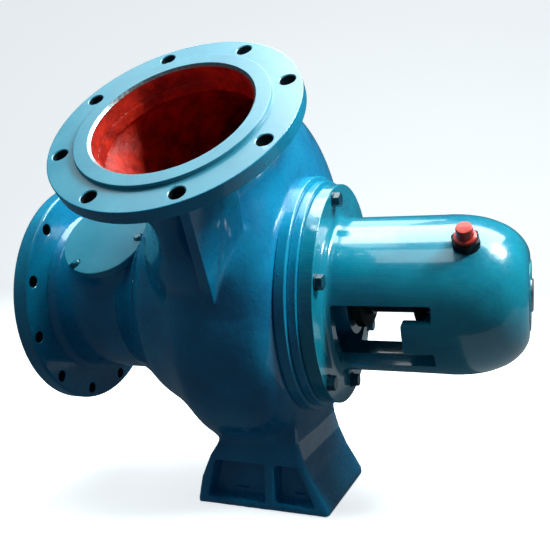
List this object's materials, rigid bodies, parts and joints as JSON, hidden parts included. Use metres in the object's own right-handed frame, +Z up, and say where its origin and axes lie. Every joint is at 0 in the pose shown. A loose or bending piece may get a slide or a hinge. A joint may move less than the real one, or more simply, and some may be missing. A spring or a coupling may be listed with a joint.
{
  "type": "pulp pump",
  "caption": "End suction pulp pump: spiral casing with a tilted flanged discharge, flanged suction nozzle with a hand hole, cast foot and lantern bearing bracket.",
  "frame": {"origin": "on the underside of the foot, below the shaft, in the plane of the discharge", "axes": "+X along the shaft from suction to drive end, +Z up, -Y the side the discharge leans to"},
  "size_m": [0.7419, 0.6351, 0.6792],
  "materials": {
    "blue_enamel": "glossy blue enamel on cast iron",
    "pale_blue_enamel": "machined face under thin blue enamel",
    "bright_steel": "turned steel",
    "dark_steel": "bare dark iron and steel",
    "red_plastic": "moulded red plastic",
    "dark_rubber": "moulded rubber"
  },
  "bodies": {
    "root": {"volute_casing": "blue_enamel", "discharge_neck": "blue_enamel", "discharge_flange": "pale_blue_enamel", "suction_nozzle": "blue_enamel", "suction_flange": "blue_enamel", "hand_hole_cover": "pale_blue_enamel", "casing_rear_flange": "blue_enamel", "stuffing_box_cover": "blue_enamel", "bearing_bracket": "blue_enamel", "bearing_end_cover": "blue_enamel", "inner_bearing_cover": "blue_enamel", "casing_foot": "blue_enamel", "oil_filler_nut": "dark_steel", "oil_filler_cap": "red_plastic", "shaft": "bright_steel", "shaft_sleeve": "bright_steel", "water_slinger": "dark_rubber", "packing_gland": "dark_steel", "gland_stud_near": "dark_steel", "gland_stud_far": "dark_steel", "impeller": "dark_steel", "impeller_nut": "dark_steel", "suction_liner": "dark_steel", "casing_drain_plug": "dark_steel"}
  },
  "joints": []
}
